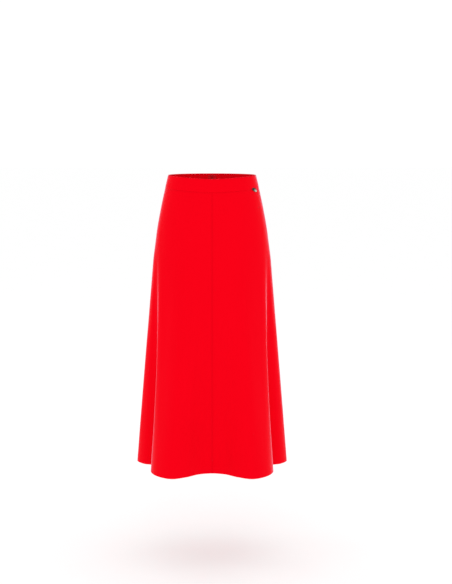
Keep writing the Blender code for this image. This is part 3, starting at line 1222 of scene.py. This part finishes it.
@dataclass
class Waistband(Wrapped):
    """The shaped waistband: one front piece and two back pieces that part beside the slider."""

    columns: int = 110
    even_rows: int = 16
    lowest_row: float = 0.0084  # how far above the waist seam the even rows end
    rounding: Array = field(default_factory=lambda: fold_rows(BAND_CLOTH / 2))
    parting: float = 0.0010
    parting_low: float = -0.002
    parting_high: float = 0.008
    closing_low: float = 0.0146  # above the slider's neck the ends come together again
    closing_high: float = 0.0156
    parting_fade: int = 8  # how quickly the parting fades away from the ends
    front_cut: Cut = Cut(0.400, 0.062, 0.0175)
    back_cut: Cut = Cut(0.200, 0.055, 0.0086)

    def __post_init__(self) -> None:
        """Spaces the rows."""
        even = np.linspace(BAND_CLOTH, BAND_HEIGHT - self.lowest_row, self.even_rows) / BAND_HEIGHT
        self.rows = Rows.of(self.rounding, even, EDGE)

    def build(self) -> None:
        side, back = FORM.place("side seam"), FORM.place("centre back")
        self.wrap(Panel("waistband_front", -side, side, self.columns * 2, 1, self.front_cut))
        for hand in Side:
            node = f"waistband_back_{hand.word}"
            self.wrap(Panel(node, side, back, self.columns, hand.value, self.back_cut, self.parting))

    def edges(self, around: Array) -> tuple[Array, Array]:
        """The heights of the top edge and the waist seam."""
        return BAND_TOP - FORM.front_dip(around), FORM.waist_seam(around) + SEAM_TOUCH

    def depths(self, layer: Array, row: Array, near: Array) -> Array:
        """Shapes the faces, the top fold and the rolled seams.

        Args:
            layer: 1 for a point of the outer face, 0 for one of the inner face.
            row: each point's row.
            near: each point's distance to the nearer lengthwise seam.

        Returns:
            Each point's depth inside the skirt's face.
        """
        from_top = inset(self.rounding, row)
        closing = fold_in(from_top, BAND_CLOTH / 2)
        rolls = from_top > BAND_CLOTH / 4  # a seam's roll stops short of the fold
        turn_in = roll(np.minimum(near, inset(EDGE, self.rows.total - row))) * rolls
        return np.where(layer == 1, turn_in + closing - BAND_PROUD, BAND_CLOTH - BAND_PROUD - closing)

    def opening(self, share: Array, height: Array) -> Array:
        """How open the ends stand beside the slider's neck."""
        opened = ease(height, self.parting_low, self.parting_high)
        return opened * (1 - ease(height, self.closing_low, self.closing_high)) * share**self.parting_fade


OVERLOCK_PITCH = 0.0024
OVERLOCK_WIDTH = 0.0035
OVERLOCK_THREAD = 0.00018
THREAD_LIFT = 0.0001  # from the cloth to a thread's middle


class Seam(NamedTuple):
    """A lengthwise seam with its allowances ironed open."""

    name: str
    around: float
    hand: int  # 1 for the wearer's left, -1 for the right
    top: float  # the height of the allowances' upper end


@dataclass
class SeamAllowances:
    """The ironed-open allowances inside the lengthwise seams."""

    finishes: Finishes
    front_top: float = -0.029
    side_top: float = -0.021
    back_top: float = -0.190  # below the zip
    half_width: float = 0.012
    cloth: float = 0.0009
    cut_edge: float = 0.6  # the cut edges' share of that thickness
    cut_edge_start: float = 0.99  # as a share of the half width
    clear: float = 0.00025
    rows: int = 120
    above_hem: float = 0.001  # how far over the hem's turning it ends
    groove: float = 0.0006
    groove_width: float = 0.1  # as a share of the half width
    columns: tuple[float, ...] = (-1, -0.98, -0.5, -0.12, -0.03, 0, 0.03, 0.12, 0.5, 0.98, 1)

    def build(self) -> None:
        """Builds a strip for each seam, and its overlocked edges."""
        side = FORM.place("side seam")
        for seam in (
            Seam("seam_allowance_front", 0.0, 1, self.front_top),
            Seam("seam_allowance_side_left", side, 1, self.side_top),
            Seam("seam_allowance_side_right", side, -1, self.side_top),
            Seam("seam_allowance_back", 1.0, 1, self.back_top),
        ):
            self._strip(seam)
            self._overlock(seam, f"{seam.name}_overlock_a", -1)
            self._overlock(seam, f"{seam.name}_overlock_b", 1)

    def _strip(self, seam: Seam) -> None:
        """Builds the strip behind one seam.

        Args:
            seam: the seam.
        """
        bottom = HEM_HEIGHT + HEM_TURNING + self.above_hem
        bm, column, row, layer = cloth_block(len(self.columns) - 1, self.rows)
        offset = self.half_width * np.array(self.columns)[column]
        height = np.linspace(seam.top, bottom, self.rows + 1)[row]
        around = FORM.moved(np.full_like(height, seam.around), height, offset)
        near = np.abs(offset) / self.half_width
        in_groove = np.clip(1 - near / self.groove_width, 0, 1)
        outer = CLOTH + self.clear
        thick = self.cloth * np.where(near > self.cut_edge_start, self.cut_edge, 1)
        inner = outer + thick - self.groove * in_groove
        move_to(bm, FORM.laid(around, height, np.where(layer == 1, outer, inner), seam.hand))
        piece = add_piece(seam.name, bm, self.finishes.crepe)
        map_cloth(piece.data, (around - seam.around) * FORM.run(around, height), height)
        # painted shade along the groove down the strip's middle
        mark(piece.data, PAINTED_LIGHT_AND_WEAR, in_groove)
        declare(piece, cut=Cut(2 * self.half_width, seam.top - bottom))

    def _overlock(self, seam: Seam, name: str, turn: int) -> None:
        """Builds the thread zigzag over one edge of a strip.

        Args:
            seam: the strip's seam.
            name: the piece's name.
            turn: 1 for its edge towards the back, -1 for the other.
        """
        bottom = HEM_HEIGHT + HEM_TURNING + 2 * self.above_hem
        point = np.arange(2 * int((seam.top - bottom) / OVERLOCK_PITCH))
        height = seam.top - OVERLOCK_PITCH / 2 * point
        wide = self.half_width + np.where(point % 2, -OVERLOCK_WIDTH, THREAD_LIFT)
        around = FORM.moved(np.full_like(height, seam.around), height, turn * wide)
        depth = np.full_like(height, CLOTH + self.clear + self.cloth + THREAD_LIFT)
        run = FORM.laid(around, height, depth, seam.hand)
        add_thread(name, [run], OVERLOCK_THREAD, self.finishes.thread)


@dataclass
class HemStitching:
    """The overlocked upper edge of the turned-up hem and its blind stitches."""

    finishes: Finishes
    blind_pitch: float = 0.009
    blind_reach: float = 0.0009  # each way along the hem
    blind_rise: tuple[float, float, float] = (-0.001, 0.0022, -0.001)
    edge: float = HEM_HEIGHT + HEM_TURNING
    measured: int = 400  # places that the hem is measured at
    over_edge: float = 0.0002
    seam_margin: float = 0.002

    def build(self) -> None:
        """Builds the threads in four stretches, one a gore."""
        seam = FORM.place("side seam")
        for side in Side:
            self._stretch(f"hem_overlock_front_{side.word}", 0.0, seam, side)
            self._stretch(f"hem_overlock_back_{side.word}", seam, 1.0, side)

    def _along(self, first: float, last: float, pitch: float) -> Array:
        """Spaces places evenly along the hem, from one seam to the next.

        Args:
            first: the first seam's place around.
            last: the last seam's place around.
            pitch: how far apart the places are.

        Returns:
            The places around.
        """
        fine = np.linspace(first, last, self.measured)
        run = FORM.paced(fine, np.full_like(fine, self.edge))
        return np.interp(np.arange(run[0] + self.seam_margin, run[-1] - self.seam_margin, pitch), run, fine)

    def _stretch(self, name: str, first: float, last: float, side: Side) -> None:
        """Builds one gore's stretch.

        Args:
            name: the piece's name.
            first: the place around of its first seam.
            last: the place around of its last seam.
            side: the wearer's hand.
        """
        around = self._along(first, last, OVERLOCK_PITCH / 2)
        rise = np.where(np.arange(len(around)) % 2, -OVERLOCK_WIDTH, self.over_edge)
        depth = np.full_like(rise, HEM_CLOTH + THREAD_LIFT)
        runs = [FORM.laid(around, self.edge + rise, depth, side.value)]
        for place in self._along(first, last, self.blind_pitch):
            near = place + self.blind_reach * np.array([-1, 0, 1])
            depth = np.array([HEM_CLOTH, CLOTH, HEM_CLOTH]) + THREAD_LIFT
            runs.append(FORM.laid(near, self.edge + np.array(self.blind_rise), depth, side.value))
        add_thread(name, runs, OVERLOCK_THREAD, self.finishes.thread)


@dataclass
class WaistStitching:
    """The row of machine stitches that closes the waistband's facing inside."""

    finishes: Finishes
    first: float = 0.004
    last: float = 0.985
    measured: int = 800  # places that the seam is measured at
    pitch: float = 0.0028
    length: float = 0.0021
    thread: float = 0.00017
    lift: float = 0.0002
    above_seam: float = 0.0022

    def build(self) -> None:
        """Builds the stitches of both hands."""
        fine = np.linspace(self.first, self.last, self.measured)
        run = FORM.paced(fine, FORM.waist_seam(fine) + self.above_seam)
        depth = BAND_CLOTH - BAND_PROUD + self.lift * np.array([0, 1, 0])
        for side in Side:
            runs = []
            for start in np.arange(run[0], run[-1] - self.length, self.pitch):
                place = np.interp(start + self.length * np.array([0, 0.5, 1]), run, fine)
                runs.append(FORM.laid(place, FORM.waist_seam(place) + self.above_seam, depth, side.value))
            add_thread(f"waist_stitches_{side.word}", runs, self.thread, self.finishes.thread)


@dataclass
class Zip:
    """The concealed zip at the centre back: tapes, coils, bottom stop, slider and pull."""

    finishes: Finishes
    top: float = 0.016
    bottom: float = -0.185
    width: float = 0.012
    cloth: float = 0.0008
    half_gap: float = 0.0010
    rows: int = 90
    face: float = BAND_CLOTH - BAND_PROUD + SEAM_GAP
    profile: tuple[tuple[float, float], ...] = (
        # across the tape from its outer edge, and the share of its thickness there
        (0.0, 0.3), (0.0004, 1.0), (0.003, 1.0), (0.006, 1.0), (0.009, 1.0),
        (0.0100, 1.0), (0.0106, 1.25), (0.0112, 1.4), (0.0117, 1.25), (0.012, 0.8),
    )
    coil_radius: float = 0.00062
    coil_wire: float = 0.00026
    coil_pitch: float = 0.00125
    coil_steps: int = 10  # a turn
    coil_top: float = 0.0065
    coil_end: float = 0.004  # above the tape's lower end
    coil_lift: float = 0.0004  # clear of the tape
    coil_middle: float = 0.00072  # from the centre back
    coil_reach: float = 0.00045
    stop_size: tuple[float, float, float] = (0.0044, 0.0034, 0.0012)
    stop_bevel: float = 0.0004
    stop_above: float = 0.006
    stop_lift: float = 0.0014

    def build(self, nodes: dict[str, bpy.types.Object]) -> None:
        """Builds the tapes and coils, and dresses the slider and pull.

        Args:
            nodes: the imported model's objects by node.
        """
        for side in Side:
            self._tape(side)
            self._coil(side)
        self._stop()
        for node in ("zip_slider", "zip_pull"):
            nodes[node].data.materials.clear()
            nodes[node].data.materials.append(self.finishes.lacquer)

    def _tape(self, side: Side) -> None:
        """Builds one tape, with a corded edge beside the coil.

        Args:
            side: the wearer's hand.
        """
        bm, column, row, layer = cloth_block(len(self.profile) - 1, self.rows)
        offset, bulk = np.array(self.profile)[column].T
        height = np.linspace(self.top, self.bottom, self.rows + 1)[row]
        around = FORM.moved(np.ones_like(height), height, offset - self.half_gap - self.width)
        depth = np.where(layer == 1, self.face, self.face + self.cloth * bulk)
        move_to(bm, FORM.laid(around, height, depth, side.value))
        node = f"zip_tape_{side.word}"
        piece = add_piece(node + "_woven", bm, self.finishes.tape)
        map_cloth(piece.data, offset, height)
        declare(piece, node, Cut(self.width, self.top - self.bottom))

    def _coil(self, side: Side) -> None:
        """Builds one side's coil, a flattened helix sewn to the tape.

        Args:
            side: the wearer's hand.
        """
        turns = (self.coil_top - self.bottom - self.coil_end) / self.coil_pitch
        angle = np.linspace(0, turns * math.tau, int(turns * self.coil_steps))
        height = self.coil_top - self.coil_pitch * angle / math.tau
        reach = self.coil_reach * np.cos(angle) - self.coil_middle
        around = FORM.moved(np.ones_like(height), height, reach)
        lift = self.coil_lift + self.coil_radius * (1 + np.sin(angle))
        run = FORM.laid(around, height, self.face + self.cloth + lift, side.value)
        add_thread(f"zip_coil_{side.word}", [run], self.coil_wire, self.finishes.thread)

    def _stop(self) -> None:
        """Builds the crimped metal stop at the zip's lower end."""
        bm = bmesh.new()
        bmesh.ops.create_cube(bm, size=1.0)
        bmesh.ops.scale(bm, verts=bm.verts, vec=self.stop_size)
        bmesh.ops.bevel(
            bm, geom=bm.edges[:], offset=self.stop_bevel, segments=3, profile=0.5, affect="EDGES", material=-1
        )
        height = np.array([self.bottom + self.stop_above])
        out = Vector(FORM.outward(np.ones(1), height)[0])
        across = Vector((-1, 0, 0))
        axes = Matrix((across, out.cross(across), out)).transposed().to_4x4()
        inside = self.face + self.cloth + self.stop_lift
        middle = Vector(FORM.face(np.ones(1), height)[0]) - out * inside
        bmesh.ops.transform(bm, matrix=Matrix.Translation(middle) @ axes, verts=bm.verts)
        declare(add_piece("zip_bottom_stop", bm, self.finishes.lacquer))


@dataclass
class Tag:
    """The plain oval metal tag over the waist seam, with a beaded rim, a dome rubbed pale on its high places,
    and painted light: paler to its lower right, darker to its upper left.
    """

    finishes: Finishes
    x: float = 0.1285
    height: float = -0.0240
    half_length: float = 0.0120
    half_width: float = 0.0056
    thickness: float = 0.0005
    turn: float = math.radians(-20)
    measured: int = 1001  # places that the skirt is measured at
    sides: int = 72
    dent: float = 0.00007
    dented_above: float = 0.0009
    dents_across: float = 17.0
    dents_up: float = 9.0
    dents_slant: float = 6.0
    dents_shift: float = 1.3
    rubbed: float = 0.12
    rubbed_high: float = 0.45  # more on its high places
    rubbed_worn: float = 0.62  # painted light: paler towards the lower right, darker towards the upper left
    worn_way: tuple[float, float] = (0.75, -0.45)  # the way of the painted light, towards the lower right of the dome
    rings: tuple[tuple[float, float], ...] = (
        # inset as a share of the tag, rise
        (0.020, 0.00035), (0.030, 0.00020), (0.035, 0.00000), (0.030, -0.00020),
        (0.030, -0.00030), (0.035, 0.00000), (0.060, 0.00025), (0.090, 0.00030),
        (0.120, 0.00025), (0.150, 0.00018), (0.150, 0.00010),
    )

    def build(self) -> None:
        """Builds the tag and bends it to the skirt."""
        bm = bmesh.new()
        bmesh.ops.create_circle(bm, cap_ends=True, segments=self.sides, radius=1.0)
        top = push_out(bm, bm.faces[:], (0, 0, self.thickness))
        face_outwards(bm)
        for inward, rise in self.rings:
            bmesh.ops.inset_region(bm, faces=top, thickness=inward, use_even_offset=True)
            raised = list({vertex for face in top for vertex in face.verts})
            bmesh.ops.translate(bm, verts=raised, vec=(0, 0, rise))
        across, up, rise = places_of(bm).T
        bmesh.ops.scale(bm, verts=bm.verts, vec=(self.half_length, self.half_width, 1.0))
        bmesh.ops.rotate(bm, verts=bm.verts, matrix=Matrix.Rotation(self.turn, 3, "Z"))
        waves = np.sin(across * self.dents_across + self.dents_shift)
        waves = waves * np.sin(up * self.dents_up + across * self.dents_slant)
        dents = self.dent * (waves * (rise > self.dented_above))
        move_to(bm, self._bent(places_of(bm), rise + dents))
        bmesh.ops.triangulate(bm, faces=[face for face in bm.faces if len(face.verts) > 4])
        piece = add_piece("metal_tag_dome", bm, self.finishes.silver)
        # rubbed wear overall and on the high places, plus painted light towards the lower right
        high = np.clip(rise / rise.max(), 0, 1)
        painted_light = self.worn_way[0] * across + self.worn_way[1] * up
        mark(piece.data, PAINTED_LIGHT_AND_WEAR, self.rubbed + self.rubbed_high * high + self.rubbed_worn * painted_light)
        declare(piece, "metal_tag")

    def _bent(self, flat: Array, rise: Array) -> Array:
        """Bends the flat tag to its place on the skirt.

        Args:
            flat: each point of the flat tag.
            rise: how far each point rises from the tag's back.

        Returns:
            Each point's place.
        """
        height = self.height + flat[:, 1]
        places = np.linspace(0, FORM.place("side seam"), self.measured)
        faces = FORM.face(places, np.full_like(places, self.height))
        middle = np.full_like(height, np.interp(self.x, faces[:, 0], places))
        around = FORM.moved(middle, height, flat[:, 0])
        lifted = BAND_PROUD + SEAM_GAP + rise
        return FORM.face(around, height) + FORM.outward(around, height) * lifted[:, None]


class Lamp(NamedTuple):
    """A soft square lamp that faces the skirt's middle."""

    name: str
    place: tuple[float, float, float]
    size: float
    power: float  # in watts


@dataclass
class Studio:
    """The pale floor, soft white light and the camera at the photograph's angle."""

    floor_height: float = -1.172
    floor_size: float = 60.0
    ambient: float = 1.05
    lamps: tuple[Lamp, ...] = (
        Lamp("front_key", (0.0, -5.4, 1.6), 2.4, 40.0),
        Lamp("left_rim", (-3.0, 2.0, -0.7), 2.2, 24.0),
        Lamp("right_rim", (3.0, 2.0, -0.7), 2.2, 24.0),
    )
    lamp_target: tuple[float, float, float] = (0, 0, -0.45)
    camera_distance: float = 4.2126
    camera_height: float = 0.2140
    camera_drop: float = math.radians(7.5)
    lens: float = 85.0
    sensor: float = 36.0
    frame_height: float = 584.0
    frame_middle: float = 226.0
    skirt_middle: float = 212.07  # the image column of the skirt's middle

    def build(self) -> None:
        """Sets up everything round the skirt."""
        bpy.context.scene.view_settings.view_transform = "Standard"
        self._floor()
        self._world()
        for lamp in self.lamps:
            self._lamp(lamp)
        self._camera()

    def _floor(self) -> None:
        """Lays the floor."""
        bm = bmesh.new()
        at = Matrix.Translation((0, 0, self.floor_height))
        bmesh.ops.create_grid(bm, x_segments=2, y_segments=2, size=self.floor_size / 2, matrix=at)
        mesh = bpy.data.meshes.new("studio_floor")
        bm.to_mesh(mesh)
        bm.free()
        mesh.materials.append(Floor().make())
        add_object("studio_floor", mesh)

    def _world(self) -> None:
        """Fills the room with even white light."""
        world = bpy.data.worlds.new("white_room")
        world.use_nodes = True
        background = world.node_tree.nodes["Background"]
        background.inputs["Color"].default_value = (1.0, 1.0, 1.0, 1.0)
        background.inputs["Strength"].default_value = self.ambient
        bpy.context.scene.world = world

    def _lamp(self, lamp: Lamp) -> None:
        """Hangs one lamp.

        Args:
            lamp: the lamp.
        """
        light = bpy.data.lights.new(lamp.name, "AREA")
        light.size = lamp.size
        light.energy = lamp.power
        hung = add_object(lamp.name, light)
        hung.location = lamp.place
        aim = Vector(self.lamp_target) - Vector(lamp.place)
        hung.rotation_euler = aim.to_track_quat("-Z", "Y").to_euler()

    def _camera(self) -> None:
        """Sets the camera at the photograph's viewing angle."""
        data = bpy.data.cameras.new("photo_camera")
        data.lens = self.lens
        data.sensor_width = self.sensor
        data.shift_x = (self.frame_middle - self.skirt_middle) / self.frame_height
        camera = add_object("photo_camera", data)
        camera.location = (0.0, -self.camera_distance, self.camera_height)
        camera.rotation_euler = (math.radians(90) - self.camera_drop, 0.0, 0.0)
        bpy.context.scene.camera = camera


def main() -> None:
    """Builds the skirt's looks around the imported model."""
    logging.basicConfig(level=logging.INFO, format="%(name)s %(message)s")
    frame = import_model()
    finishes = Finishes.make()
    Gores(finishes).build()
    Waistband(finishes).build()
    SeamAllowances(finishes).build()
    HemStitching(finishes).build()
    WaistStitching(finishes).build()
    Zip(finishes).build(frame["nodes"])
    Tag(finishes).build()
    Studio().build()


if __name__ == "__main__":
    main()
